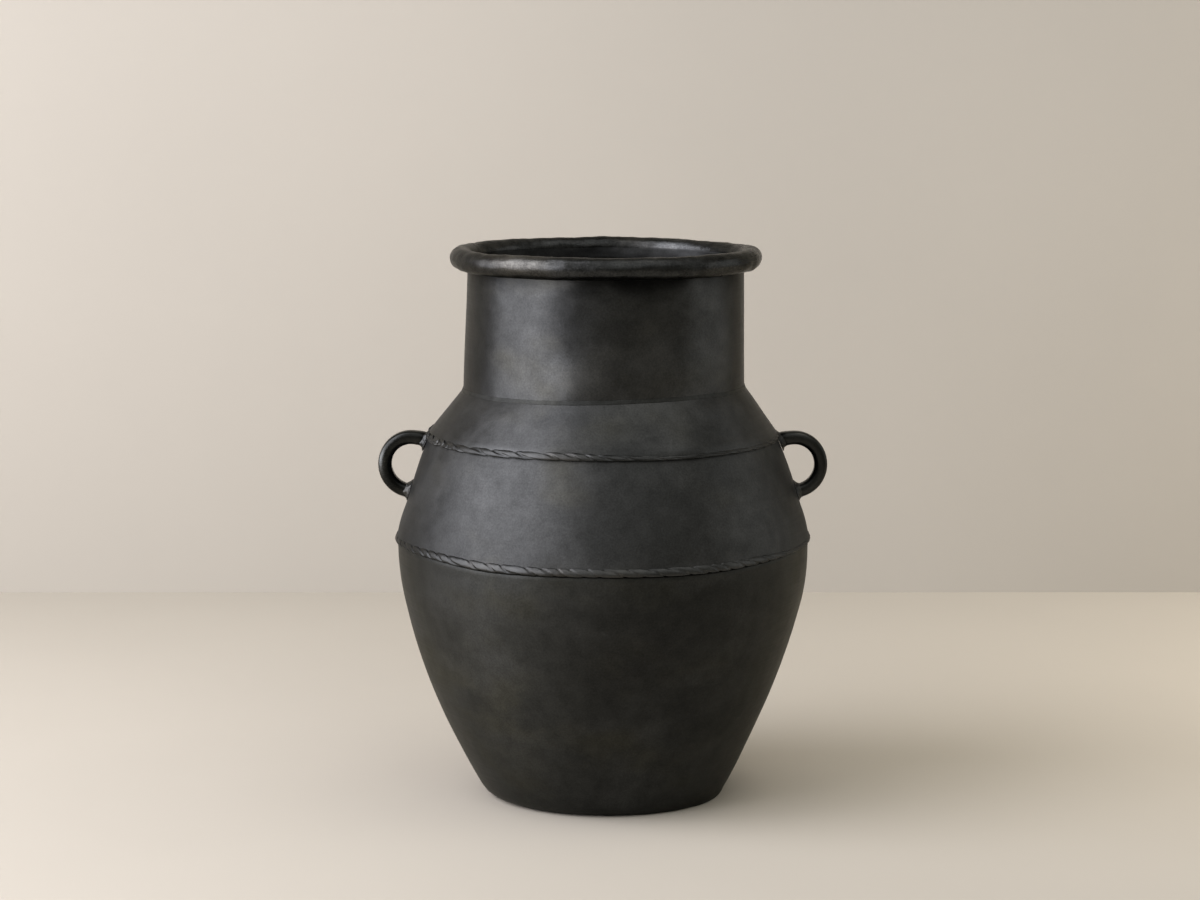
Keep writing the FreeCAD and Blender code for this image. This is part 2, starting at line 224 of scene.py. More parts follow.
def blackened_iron(name, dark, pale, warm, rough, grain, crown=None, edge="#cbcbc9", marks=(), drawn=None,
                   metal=1.0, fleck=0.22):
    """Hot-blackened, waxed iron: charcoal under clouds of a paler and a warmer bloom, mottled, with faint
    level wiping marks and a fine scale that breaks the sheen.
    rough: roughness of the charcoal and of the bloom. grain: depth of dents and of scale, in mm.
    crown: attribute of the piece that says where its relief is rubbed. edge: tint of the glancing sheen.
    marks: places and reaches in metres where the skin is made darker (share below 1) or lighter; most are
    painted shade or painted highlights.
    drawn: centre that a bar is bent round, with lines along it. metal: 0 for dull scale.
    fleck: contrast of the mottling and the scale."""
    cloud_size, warm_size, dent_size = 110 * mm, 130 * mm, 26 * mm
    mottle_size, scale_size, draw_line = 20 * mm, 2.2 * mm, 4 * mm
    cloud_height = 1 / 1.5                 # share of a cloud's width
    wiping_marks = (14.0, 14.0, 420.0)     # marks in a metre, across and up
    material = bpy.data.materials.new(name)
    material.use_nodes = True
    tree = material.node_tree
    shader = tree.nodes["Principled BSDF"]
    place = node(tree, "TexCoord").outputs["Object"]
    lying = node(tree, "Mapping", {"Vector": place, "Scale": (1.0, 1.0, 1 / cloud_height)}).outputs["Vector"]
    clouds = node(tree, "TexNoise", {"Vector": lying, "Scale": 1 / cloud_size, "Detail": 3.5,
                                     "Roughness": 0.55, "Distortion": 0.25}).outputs["Fac"]
    warmth = node(tree, "TexNoise", {"Vector": lying, "Scale": 1 / warm_size, "Detail": 2.0,
                                     "Roughness": 0.5}, noise_dimensions="4D")
    warmth.inputs["W"].default_value = 3.7   # another slice of the noise than the clouds have
    mottle = node(tree, "TexNoise", {"Vector": place, "Scale": 1 / mottle_size, "Detail": 4.0,
                                     "Roughness": 0.62}).outputs["Fac"]
    if drawn:
        # The lines run round the given centre, at the left as at the right
        side = node(tree, "VectorMath", {0: place}, operation="ABSOLUTE").outputs["Vector"]
        spoke = node(tree, "VectorMath", {0: side, 1: drawn}, operation="SUBTRACT").outputs["Vector"]
        in_plane = node(tree, "VectorMath", {0: spoke, 1: (1, 0, 1)}, operation="MULTIPLY").outputs["Vector"]
        reach = node(tree, "VectorMath", {0: in_plane}, operation="LENGTH").outputs["Value"]
        across = node(tree, "SeparateXYZ", {"Vector": side}).outputs["Y"]
        section = node(tree, "CombineXYZ", {"X": reach, "Y": across}).outputs["Vector"]
        mottle = node(tree, "TexNoise", {"Vector": section, "Scale": 1 / draw_line,
                                         "Detail": 2.0}).outputs["Fac"]
    level = node(tree, "Mapping", {"Vector": place, "Scale": wiping_marks}).outputs["Vector"]
    wiping = node(tree, "TexNoise", {"Vector": level, "Scale": 1.0, "Detail": 2.0,
                                     "Roughness": 0.5}).outputs["Fac"]
    speck = node(tree, "TexNoise", {"Vector": place, "Scale": 1 / scale_size, "Detail": 2.0,
                                    "Roughness": 0.6}).outputs["Fac"]
    bloom = node(tree, "MapRange", {"Value": clouds, "From Min": 0.4, "From Max": 0.68},
                 interpolation_type="SMOOTHSTEP").outputs["Result"]
    tint = node(tree, "MapRange", {"Value": warmth.outputs["Fac"], "From Min": 0.45, "From Max": 0.7},
                interpolation_type="SMOOTHSTEP").outputs["Result"]
    patch = node(tree, "Mix", {"Factor": tint, "A": colour(pale), "B": colour(warm)},
                 data_type="RGBA").outputs["Result"]
    coat = node(tree, "Mix", {"Factor": bloom, "A": colour(dark), "B": patch},
                data_type="RGBA").outputs["Result"]
    flecks = node(tree, "Math", {0: mottle, 1: speck}, operation="ADD").outputs["Value"]
    shade = node(tree, "MapRange", {"Value": flecks, "From Min": 0.7, "From Max": 1.3, "To Min": 1 - fleck,
                                    "To Max": 1 + fleck}).outputs["Result"]
    skin = node(tree, "Mix", {"Factor": 1.0, "A": coat, "B": shade}, data_type="RGBA",
                blend_type="MULTIPLY").outputs["Result"]
    # Each mark multiplies the skin in a ragged patch: most are painted shade or painted highlights
    for centre, reach, strength in marks:
        offset = node(tree, "VectorMath", {0: place, 1: centre}, operation="SUBTRACT").outputs["Vector"]
        share = node(tree, "VectorMath", {0: offset, 1: reach}, operation="DIVIDE").outputs["Vector"]
        distance = node(tree, "VectorMath", {0: share}, operation="LENGTH").outputs["Value"]
        ragged = node(tree, "Math", {0: distance, 1: clouds}, operation="ADD").outputs["Value"]
        clear = node(tree, "MapRange", {"Value": ragged, "From Min": 0.7, "From Max": 1.5,
                                        "To Min": strength},
                     interpolation_type="SMOOTHSTEP").outputs["Result"]
        skin = node(tree, "Mix", {"Factor": 1.0, "A": skin, "B": clear}, data_type="RGBA",
                    blend_type="MULTIPLY").outputs["Result"]
    dull = node(tree, "MapRange", {"Value": bloom, "To Min": rough[0], "To Max": rough[1]}).outputs["Result"]
    wiped = node(tree, "MapRange", {"Value": wiping, "From Min": 0.3, "From Max": 0.7, "To Min": -0.02,
                                    "To Max": 0.02}).outputs["Result"]
    gloss = node(tree, "Math", {0: dull, 1: wiped}, operation="ADD").outputs["Value"]
    if crown:
        # Bare grey metal shows on the crowns of the relief
        height = node(tree, "Attribute", attribute_name=crown).outputs["Fac"]
        rubbed = node(tree, "Math", {0: height, 1: mottle}, operation="MULTIPLY").outputs["Value"]
        skin = node(tree, "Mix", {"Factor": rubbed, "A": skin, "B": colour("#4d4e4d")},
                    data_type="RGBA").outputs["Result"]
        gloss = node(tree, "Mix", {"Factor": rubbed, "A": gloss, "B": 0.37}).outputs["Result"]
    dents = node(tree, "TexNoise", {"Vector": place, "Scale": 1 / dent_size, "Detail": 1.0}).outputs["Fac"]
    hollow = node(tree, "Bump", {"Height": dents, "Strength": 1.0,
                                 "Distance": grain[0] * mm}).outputs["Normal"]
    scale = node(tree, "Bump", {"Height": flecks, "Strength": 1.0, "Distance": grain[1] * mm,
                                "Normal": hollow}).outputs["Normal"]
    tree.links.new(skin, shader.inputs["Base Color"])
    tree.links.new(gloss, shader.inputs["Roughness"])
    tree.links.new(scale, shader.inputs["Normal"])
    shader.inputs["Metallic"].default_value = metal
    shader.inputs["Specular Tint"].default_value = colour(edge)   # the wax dulls the glancing edges
    return material


def thicken(wall, outside, inside):
    """Gives an open wall the thickness of the sheet, inwards, and a skin on either side."""
    wall.data.materials.append(outside)
    wall.data.materials.append(inside)
    apply(wall, "SOLIDIFY", thickness=sheet * mm, offset=-1, use_even_offset=True, material_offset=1)


def fit(piece, node_name):
    """Puts a finished piece on the planter, for the CAD node it stands for."""
    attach(piece, "planter")
    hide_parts(node_name)


bowl_outline = [(hem_edge, 0)] + straight((hem_edge, 0), (foot_centre[0], 0))
bowl_outline += arc(foot_centre, foot_round, -90, wall_foot_angle)[1:]
bowl_outline += arc(wall_centre, wall_round, wall_foot_angle, wall_top_angle)[1:]
bowl_outline += arc(collar_centre, collar_round, wall_top_angle, 0)[1:]
# The rounded step in from the collar to the lip
bowl_outline += [(254.7, 308.6), (254.7, 312.8), (254.4, 313.8), (253.7, 314.5), (252.7, 314.8),
                 (252.2, 315.2), (252.1, 315.9)]
bowl_outline += arc(body_arc_centre, lip_round, lower_seam_angle + step_angle,
                    lower_seam_angle + lap_angle)
bowl_fuller = 1.2         # mm that the wall is beaten out halfway up
bowl_top = bowl_outline[-1][1]
bowl_outline = [(radius + bowl_fuller * math.sin(math.pi * height / bowl_top), height)
                for radius, height in bowl_outline]
lower_bowl = ring_wall("lower_bowl_shell", bowl_outline)
# The foot is beaten out to a sharper corner at the right, in four rounds that each reach less far
corner_towards = -12.0    # degrees round the axis
corner_reaches = (75, 58, 42, 26)   # degrees to either side
corner_inside = 128.0     # mm from the axis at which the moved part of the flat foot begins
corner_growth = 1.019
corner_soft = 17.0        # mm of the wall that follow
for reach in corner_reaches:
    select_points(lower_bowl, lambda co: co.z < 0.1 * mm and math.hypot(co.x, co.y) > corner_inside * mm
                  and abs(math.degrees(math.atan2(co.y, co.x)) - corner_towards) < reach)
    bpy.ops.transform.resize(value=(corner_growth, corner_growth, 1), center_override=(0, 0, 0),
                             use_proportional_edit=True, proportional_size=corner_soft * mm,
                             proportional_edit_falloff="SMOOTH")
    bpy.ops.object.mode_set(mode="OBJECT")
# Painted highlight on the bowl's lit left side, and painted shade at its front, just right of the middle
bowl_left_highlight = ((-0.14, -0.17, 0.17), (0.16, 0.2, 0.28), 1.52)
bowl_front_shade = ((0.03, -0.21, 0.2), (0.16, 0.14, 0.22), 0.82)
bowl_iron = blackened_iron("blackened_bowl_iron", "#303130", "#3b3c3b", "#383833", rough=(0.46, 0.53),
                           grain=(0.5, 0.05), edge="#e4e4e0", marks=(bowl_left_highlight, bowl_front_shade))
# Inside, the black was never waxed or rubbed: a dull, dusty scale
inner_iron = blackened_iron("scaled_inner_iron", "#3a3b37", "#484944", "#4a453b", rough=(0.6, 0.72),
                            grain=(0.4, 0.08), metal=0.0)
thicken(lower_bowl, bowl_iron, inner_iron)
off_floor = lower_bowl.vertex_groups.new(name="off_floor")
flat_height = 60 * mm   # the foot stays flat on the floor, and the unevenness grows up to here
for vertex in lower_bowl.data.vertices:
    off_floor.add([vertex.index], min(1.0, max(0.0, vertex.co.z / flat_height)) ** 2, "REPLACE")
climb(lower_bowl, *lower_seam_climb)
hand_work(lower_bowl, "off_floor")
smooth_shade(lower_bowl)
fit(lower_bowl, "lower_bowl")

# Base plate and its bead: a dished sheet with a spout turned down round the drain, wedged in the bowl
# and welded all round. They keep the solids' own shape, in the dull scale of the inside.
for name in ("base_plate", "base_weld"):
    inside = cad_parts[name]
    inside.data.materials.clear()
    inside.data.materials.append(inner_iron)

# Drain plug: a stopper moulded in black rubber, with a flange on the plate, a tapered stem in the spout
# and a knob to pull it out by. It sits loose in the drain.
plug_outline = ((0.5, 11.0), (13.6, 11.0), (14.6, 12.0), (15.6, 25.5), (23.4, 25.5), (24.0, 26.1),
                (24.0, 28.6), (23.0, 29.5), (6.4, 29.5), (4.9, 30.6), (4.5, 32.4), (4.8, 33.6),
                (6.4, 34.6), (7.0, 36.0), (7.0, 39.4), (6.2, 41.0), (4.2, 41.5), (0.5, 41.5))
plug_around = 64
plug_edge = 0.35          # mm, rounding of the moulded edges
bpy.ops.object.select_all(action="DESELECT")
plug_radius, plug_height = plug_outline[0]
bpy.ops.mesh.primitive_circle_add(vertices=plug_around, radius=plug_radius * mm, fill_type="NGON",
                                  location=(0, 0, plug_height * mm))
drain_plug = new_piece("drain_plug_rubber")
open_mesh()
for radius, height in plug_outline[1:]:
    rise = (0, 0, (height - plug_height) * mm)
    bpy.ops.mesh.extrude_region_move(TRANSFORM_OT_translate={"value": rise})
    grow = radius / plug_radius
    bpy.ops.transform.resize(value=(grow, grow, 1), center_override=(0, 0, height * mm))
    plug_radius, plug_height = radius, height
close_mesh()
apply(drain_plug, "BEVEL", width=plug_edge * mm, segments=3, limit_method="ANGLE",
      angle_limit=math.radians(40))
smooth_shade(drain_plug, 50)


def moulded_rubber(name):
    """Black rubber from a mould: matt, with a fine even grain and a little dust in patches."""
    dust_size, grain_size, grain_depth = 11 * mm, 0.8 * mm, 0.05 * mm
    material = bpy.data.materials.new(name)
    material.use_nodes = True
    tree = material.node_tree
    shader = tree.nodes["Principled BSDF"]
    place = node(tree, "TexCoord").outputs["Object"]
    dust = node(tree, "TexNoise", {"Vector": place, "Scale": 1 / dust_size, "Detail": 3.0}).outputs["Fac"]
    grain = node(tree, "TexNoise", {"Vector": place, "Scale": 1 / grain_size, "Detail": 2.0}).outputs["Fac"]
    amount = node(tree, "MapRange", {"Value": dust, "From Min": 0.45, "From Max": 0.75}).outputs["Result"]
    skin = node(tree, "Mix", {"Factor": amount, "A": colour("#1b1b1c"), "B": colour("#2b2a28")},
                data_type="RGBA").outputs["Result"]
    dull = node(tree, "MapRange", {"Value": dust, "To Min": 0.62, "To Max": 0.8}).outputs["Result"]
    bump = node(tree, "Bump", {"Height": grain, "Strength": 1.0, "Distance": grain_depth}).outputs["Normal"]
    tree.links.new(skin, shader.inputs["Base Color"])
    tree.links.new(dull, shader.inputs["Roughness"])
    tree.links.new(bump, shader.inputs["Normal"])
    return material


drain_plug.data.materials.append(moulded_rubber("moulded_black_rubber"))
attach(drain_plug, "plug")
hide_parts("drain_plug")

# Belly shell and its seam bead: a spun ring of sheet iron, lapped over the bowl's lip from outside and
# held by a fillet of weld that runs round inside, on top of the lip.
belly_round = 667.8
upper_seam_angle = 23.43
belly_outline = arc(body_arc_centre, belly_round, lower_seam_angle, upper_seam_angle + lap_angle)
belly = ring_wall("belly_shell_sheet", belly_outline)
# Painted highlight at the belly's front left, widening its sheen towards the middle
belly_front_highlight = ((-0.055, -0.235, 0.395), (0.05, 0.08, 0.075), 1.2)
belly_iron = blackened_iron("blackened_belly_iron", "#3d3e3e", "#474848", "#444440", rough=(0.48, 0.54),
                            grain=(0.5, 0.05), marks=(belly_front_highlight,))
thicken(belly, belly_iron, inner_iron)
climb(belly, *lower_seam_climb)
hand_work(belly)
smooth_shade(belly)
fit(belly, "belly_shell")

# Painted highlight on the weld and rope round the left handle's roots, on the lit side
left_roots_highlight = ((-0.232, 0, 0.412), (0.07, 0.07, 0.07), 1.45)
weld_iron = blackened_iron("blackened_weld_metal", "#353636", "#4b4c4b", "#494742", rough=(0.36, 0.5),
                           grain=(0.6, 0.12), marks=(left_roots_highlight,))
bead_ripple = bpy.data.textures.new("bead_ripple", "CLOUDS")
bead_ripple.noise_scale = 7 * mm
bead_ripple.noise_depth = 1
seam_ripple = 0.5         # mm from the lowest to the highest of a bead inside
dressed_ripple = 0.6      # and of one outside
seam_bead_angle = 0.21    # degrees that a seam's bead runs up the next shell


def ring_bead(name, outline, ripple, node_name, material, seam_climb=None):
    """Bead of weld round the axis: a closed section turned into a ring, rippled like laid weld."""
    bead = ring_wall(name, outline + outline[:1])
    bead.data.materials.append(material)
    apply(bead, "SUBSURF", levels=1, render_levels=1)
    apply(bead, "DISPLACE", texture=bead_ripple, texture_coords="LOCAL", mid_level=0.5, strength=ripple * mm)
    if seam_climb:
        climb(bead, *seam_climb)
    hand_work(bead)
    smooth_shade(bead, 60)
    fit(bead, node_name)


def seam_bead(name, wall_round, edge_round, seam_angle, node_name, seam_climb=None):
    """Bead inside a lapped seam: on a shell's top edge and up the inner face of the next shell."""
    def on_arc(radius, angle):
        a = math.radians(angle)
        return (body_arc_centre[0] + radius * math.cos(a), body_arc_centre[1] + radius * math.sin(a))
    low, high = seam_angle + lap_angle, seam_angle + lap_angle + seam_bead_angle
    # Corners of the section, from the edge's inner toe round to the upper toe
    section = [on_arc(edge_round, low), on_arc(edge_round + 0.6, low - 0.01), on_arc(wall_round, low - 0.01),
               on_arc(wall_round, high), on_arc(wall_round - 0.8, high - 0.02)]
    ring_bead(name, section, seam_ripple, node_name, weld_iron, seam_climb)


seam_bead("belly_seam_bead", belly_round - sheet, lip_round - sheet, lower_seam_angle, "belly_seam_weld",
          lower_seam_climb)

# Lower rope: two strands of iron wire twisted together, hammered flat against the belly shell's lower
# edge and soldered on behind. It hides the seam, and its lower edge throws a fine dark line.
rope_around = 24       # points round the section
rope_stations = 10     # sections from one strand's crown to the next
rope_tip = 13.0        # degrees that the wire is hammered over, its top edge in and its lower edge out
rope_back = 0.9        # mm behind the wire's middle, where it is pressed flat
solder_lumps = 4.0     # mm from the lowest to the highest


def rope_straight(name, length, crowns, high, proud, furrow, seed, sizes, ring=False):
    """Twisted wire laid straight along X with its face towards -Y, so high and standing so proud, in mm. The
    section is round with a furrow on either side, given as a share. The twist and the size change a little
    from step to step, and the lower edge keeps its height."""
    draw = random.Random(seed)
    start = -length / 2
    bpy.ops.object.select_all(action="DESELECT")
    bpy.ops.mesh.primitive_circle_add(vertices=rope_around, radius=0.5, rotation=(0, math.pi / 2, 0),
                                      location=(start, 0, 0))
    rope = new_piece(name)
    # The furrow is pressed in three times, each time wider and less deep
    for reach, share in ((0.07, 0.6), (0.2, 0.4), (0.34, 0.12)):
        select_points(rope, lambda co: abs(co.z) < reach)
        bpy.ops.transform.resize(value=(1, 1 - furrow * share, 1), center_override=(start, 0, 0))
        bpy.ops.object.mode_set(mode="OBJECT")
    open_mesh()
    count = crowns * rope_stations
    paces = []   # twist of each step against the mean
    for n in range(count):
        slow_drift = 0.45 * math.sin(n * 0.11 + seed) * math.sin(n * 0.043)
        quick_drift = 0.35 * math.sin(n * 0.37 + 2 * seed)
        paces.append(1 + slow_drift + quick_drift + draw.uniform(-0.25, 0.25))
    turn = -crowns * math.pi / sum(paces)
    size = 1.0
    for n, pace in enumerate(paces, 1):
        wanted = sizes(n / count) * (1 + draw.uniform(-0.03, 0.03))
        if ring and n == count:
            wanted = 1.0
        x = start + length * n / count
        drop = (wanted - size) / 2
        bpy.ops.mesh.extrude_edges_move(TRANSFORM_OT_translate={"value": (length / count, 0, drop)})
        centre = (x, 0, (wanted - 1) / 2)
        bpy.ops.transform.rotate(value=turn * pace, orient_axis="X", center_override=centre)
        bpy.ops.transform.resize(value=(1, wanted / size, wanted / size), center_override=centre)
        size = wanted
    bpy.ops.mesh.select_all(action="SELECT")
    if not ring:
        bpy.ops.mesh.fill_holes(sides=0)
    bpy.ops.transform.resize(value=(1, proud * 2 * mm, high * mm), center_override=(0, 0, 0))
    close_mesh()
    return rope


def rope_laid(rope, radius, height, slope, angle, worn, back=False, lumpy=None, seam_climb=None):
    """Presses a straight rope against a shell: flattens its back, leans it with the shell's face and bends it
    round the axis. Its furrows are worn shallow in places, solder lies on it in lumps at the ends, and each
    point keeps how proud it stands."""
    wear = rope.vertex_groups.new(name="wear")
    length = max(vertex.co.x for vertex in rope.data.vertices) * 2
    for vertex in rope.data.vertices:
        wear.add([vertex.index], worn(vertex.co.x / length + 0.5), "REPLACE")
    if lumpy:
        lumps = rope.vertex_groups.new(name="lumps")
        for vertex in rope.data.vertices:
            lumps.add([vertex.index], lumpy(vertex.co.x / length + 0.5), "REPLACE")
    apply(rope, "SUBSURF", levels=1, render_levels=1)
    apply(rope, "SMOOTH", factor=0.5, iterations=12, vertex_group="wear")
    low = min(vertex.co.y for vertex in rope.data.vertices)
    proud = rope.data.attributes.new("proud", "FLOAT", "POINT")
    crown_from = 0.6      # share of the proudest point's reach at which a crown begins
    shares = [(vertex.co.y / low - crown_from) / (1 - crown_from) for vertex in rope.data.vertices]
    proud.data.foreach_set("value", [min(1.0, max(0.0, share)) for share in shares])
    open_mesh()
    bpy.ops.transform.rotate(value=math.radians(rope_tip), orient_axis="X", center_override=(0, 0, 0))
    bpy.ops.object.mode_set(mode="OBJECT")
    select_points(rope, lambda co: co.y > rope_back * mm)
    bpy.ops.transform.resize(value=(1, 0, 1), center_override=(0, rope_back * mm, 0))
    bpy.ops.mesh.select_all(action="SELECT")
    bpy.ops.transform.rotate(value=math.radians(slope), orient_axis="X", center_override=(0, 0, 0))
    bpy.ops.object.mode_set(mode="OBJECT")
    apply(rope, "SIMPLE_DEFORM", deform_method="BEND", deform_axis="Z", angle=angle)
    open_mesh()
    bpy.ops.transform.translate(value=(0, -radius * mm, height * mm))
    if back:
        bpy.ops.transform.rotate(value=math.pi, orient_axis="Z", center_override=(0, 0, 0))
    bpy.ops.transform.translate(value=(lean(height) * mm, 0, 0))
    close_mesh(weld=0.05)
    if lumpy:
        apply(rope, "DISPLACE", texture=bead_ripple, texture_coords="LOCAL", mid_level=0.5,
              strength=solder_lumps * mm, vertex_group="lumps")
    if seam_climb:
        climb(rope, *seam_climb)
    hand_work(rope)
    smooth_shade(rope, 60)


pale_end = ((-0.205, -0.06, 0.45), (0.05, 0.07, 0.04), 1.45)
rope_iron = blackened_iron("blackened_rope_wire", "#383939", "#464747", "#45433f", rough=(0.36, 0.44),
                           grain=(0.3, 0.06), crown="proud", marks=(left_roots_highlight, pale_end))
lower_rope_radius = 255.2
lower_rope_height = 320.6
# Size and wear by the share of the way round, from the back over the left, the front and the right
lower_rope_size = between(((0, 1), (0.2, 0.8), (0.25, 0.35), (0.28, 0.5), (0.305, 0.66), (0.34, 0.84),
                           (0.4, 0.96), (0.46, 0.9), (0.6, 0.9), (0.63, 0.8), (0.65, 0.6), (0.68, 0.35),
                           (0.75, 0.35), (0.8, 0.8), (1, 1)))
lower_rope_wear = between(((0, 0.4), (0.25, 0.7), (0.33, 0.4), (0.37, 0.1), (0.42, 0.1), (0.46, 0.8),
                           (0.54, 1), (0.58, 0.5), (0.66, 0.4), (0.75, 0.9), (1, 0.4)))
lower_rope = rope_straight("lower_rope_wire", 2 * math.pi * lower_rope_radius * mm, crowns=70, high=12.4,
                           proud=3.0, furrow=0.37, seed=3, sizes=lower_rope_size, ring=True)
rope_laid(lower_rope, lower_rope_radius, lower_rope_height, lower_seam_angle, 2 * math.pi, lower_rope_wear,
          seam_climb=lower_seam_climb)
lower_rope.data.materials.append(rope_iron)
fit(lower_rope, "lower_rope")

# Shoulder cone and its seam bead: a spun cone whose short skirt laps over the belly shell, with a bead of
# weld inside on top of the belly shell's edge.
skirt_round = 669.6
knuckle_angle = 24.2
neck_seam = (173.7, 507.1)
skirt = arc(body_arc_centre, skirt_round, upper_seam_angle, knuckle_angle)
shoulder_outline = skirt + straight(skirt[-1], neck_seam)
shoulder = ring_wall("shoulder_cone_sheet", shoulder_outline)
# Painted shade at the shoulder's front, right of the middle, and a painted highlight on its lit left side
shoulder_front_shade = ((0.035, -0.19, 0.475), (0.07, 0.06, 0.06), 0.75)
shoulder_left_highlight = ((-0.135, -0.15, 0.475), (0.06, 0.07, 0.06), 1.25)
cone_iron = blackened_iron("blackened_cone_iron", "#3c3d3d", "#494a4a", "#464642", rough=(0.37, 0.43),
                           grain=(0.5, 0.05), marks=(shoulder_front_shade, shoulder_left_highlight))
thicken(shoulder, cone_iron, inner_iron)
climb(shoulder, *neck_seam_climb)
hand_work(shoulder)
smooth_shade(shoulder, 50)
fit(shoulder, "shoulder_cone")
seam_bead("shoulder_seam_bead", skirt_round - sheet, belly_round - sheet, upper_seam_angle,
          "shoulder_seam_weld")

# Upper rope: the same twisted wire over the shoulder's seam, in two lengths that stop short of the
# handles. The strands are thick and open at the left of the front, and thin and worn at its right.
upper_rope_radius = 214.9
upper_rope_height = 452.3
handle_room = 4.27     # degrees that each end stops short of a handle's middle
upper_rope_span = math.pi - 2 * math.radians(handle_room)
# Size, wear and solder by the share of a length, each from its own left end as seen from outside
front_size = between(((0, 0.85), (0.1, 0.85), (0.2, 0.77), (0.3, 0.82), (0.4, 0.9), (0.45, 0.9), (0.5, 0.7),
                      (0.56, 0.56), (0.62, 0.44), (0.8, 0.46), (1, 0.5)))
front_wear = between(((0, 1), (0.12, 0.9), (0.18, 0.15), (0.5, 0), (0.6, 0.4), (0.68, 0.1), (0.85, 0.1),
                      (1, 0.5)))
front_lumps = between(((0, 1), (0.13, 0.9), (0.2, 0), (0.94, 0), (1, 0.3)))
back_size = between(((0, 0.6), (0.1, 0.9), (0.5, 1), (0.8, 0.8), (1, 0.95)))
back_wear = between(((0, 0.5), (0.4, 0.1), (0.9, 0.4), (1, 0.9)))
back_lumps = between(((0, 0.3), (0.06, 0), (0.9, 0), (0.94, 0.9), (1, 1)))
for name, size, worn, lumps, seed in (("front", front_size, front_wear, front_lumps, 11),
                                      ("back", back_size, back_wear, back_lumps, 23)):
    upper_rope = rope_straight(f"upper_rope_{name}_wire", upper_rope_span * upper_rope_radius * mm, crowns=24,
                               high=12.0, proud=2.9, furrow=0.75, seed=seed, sizes=size)
    rope_laid(upper_rope, upper_rope_radius, upper_rope_height, upper_seam_angle, upper_rope_span, worn,
              name == "back", lumps)
    upper_rope.data.materials.append(rope_iron)
    fit(upper_rope, f"upper_rope_{name}")

# Neck tube and its bead: a sheet rolled to a tube that narrows a little upwards, let into the shoulder
# and welded round outside with a low bead.
neck_bottom = (173.5, 501.5)
neck_top = (169.8, 664.0)
neck_outline = [neck_bottom] + straight(neck_bottom, neck_top)
neck = ring_wall("neck_tube_sheet", neck_outline)
# Painted shadow in a band round the top of the neck under the rim, darker still just right of the front
under_rim_shadow = ((0, 0, 0.668), (10, 10, 0.034), 0.3)
under_rim_shadow_spot = ((0.045, -0.165, 0.655), (0.09, 0.09, 0.042), 0.5)
pale_foot = ((-0.032, -0.17, 0.54), (0.055, 0.06, 0.042), 1.6)
# Painted shade at the right edge of the neck's highlight, narrowing it
neck_highlight_edge_shade = ((-0.05, -0.165, 0.605), (0.035, 0.06, 0.06), 0.72)
neck_iron = blackened_iron("blackened_neck_iron", "#3a3b3b", "#464747", "#43433f", rough=(0.34, 0.4),
                           grain=(0.5, 0.08), marks=(under_rim_shadow, under_rim_shadow_spot, pale_foot, neck_highlight_edge_shade))
thicken(neck, neck_iron, inner_iron)
hand_work(neck)
smooth_shade(neck)
fit(neck, "neck_tube")
neck_bead = [(173.4, 506.9), (175.8, 504.6), (174.9, 506.6), (174.1, 508.6), (173.6, 510.8), (173.2, 509.0)]
ring_bead("neck_bead", neck_bead, dressed_ripple, "neck_weld", bowl_iron, neck_seam_climb)

# Rim and its bead: a tube rolled to a ring and slit along its underside, set over the neck's top edge
# and welded below. Hammered a little out of true, with a painted highlight on its top at the front left and
# one inside at the back right.
rim_radius = 178.3
rim_height = 669.0
rim_tube = 13.4
rim_around = 320
rim_slices = 48           # points round the tube's section
rim_middle = (lean(rim_height) * mm, 0, rim_height * mm)
bpy.ops.object.select_all(action="DESELECT")
bpy.ops.mesh.primitive_torus_add(major_radius=rim_radius * mm, minor_radius=rim_tube * mm,
                                 major_segments=rim_around, minor_segments=rim_slices, location=rim_middle)
rim = new_piece("rim_tube")
# Inside, the tube is beaten straight down from its widest point, flush with the neck
rim_inside = rim_radius - rim_tube
flush_step = 0.08         # mm that each slice lies further out than the one above
for n in range(1, rim_slices // 4):
    slice_angle = math.radians(n * 360 / rim_slices)
    slice_radius = rim_radius - rim_tube * math.cos(slice_angle)
    slice_height = rim_height - rim_tube * math.sin(slice_angle)
    select_points(rim, lambda co: abs(co.z - slice_height * mm) < 0.02 * mm
                  and math.hypot(co.x - rim_middle[0], co.y) < rim_radius * mm)
    flush = (rim_inside + n * flush_step) / slice_radius
    bpy.ops.transform.resize(value=(flush, flush, 1), center_override=rim_middle)
    bpy.ops.object.mode_set(mode="OBJECT")
# A knock has bent it down by a little at the right of the back
knock_towards = 46.0      # degrees round the axis
knock_reach = 12.0        # degrees to either side
knock_deep = 2.6          # mm
knock_soft = 105.0        # mm along the rim that follow
select_points(rim, lambda co: abs(math.degrees(math.atan2(co.y, co.x)) - knock_towards) < knock_reach)
bpy.ops.transform.translate(value=(0, 0, -knock_deep * mm), use_proportional_edit=True,
                            proportional_size=knock_soft * mm, proportional_edit_falloff="SMOOTH")
bpy.ops.object.mode_set(mode="OBJECT")
# Hammer blows and smaller dents: width of a blow and the height between its lowest and highest, in mm
for name, blow_wide, blow_high in (("rim_hammer", 38, 2.2), ("rim_dents", 12, 1.2)):
    blows = bpy.data.textures.new(name, "CLOUDS")
    blows.noise_scale = blow_wide * mm
    blows.noise_depth = 1
    apply(rim, "DISPLACE", texture=blows, texture_coords="LOCAL", mid_level=0.5, strength=blow_high * mm)
hand_work(rim)
smooth_shade(rim, 80)
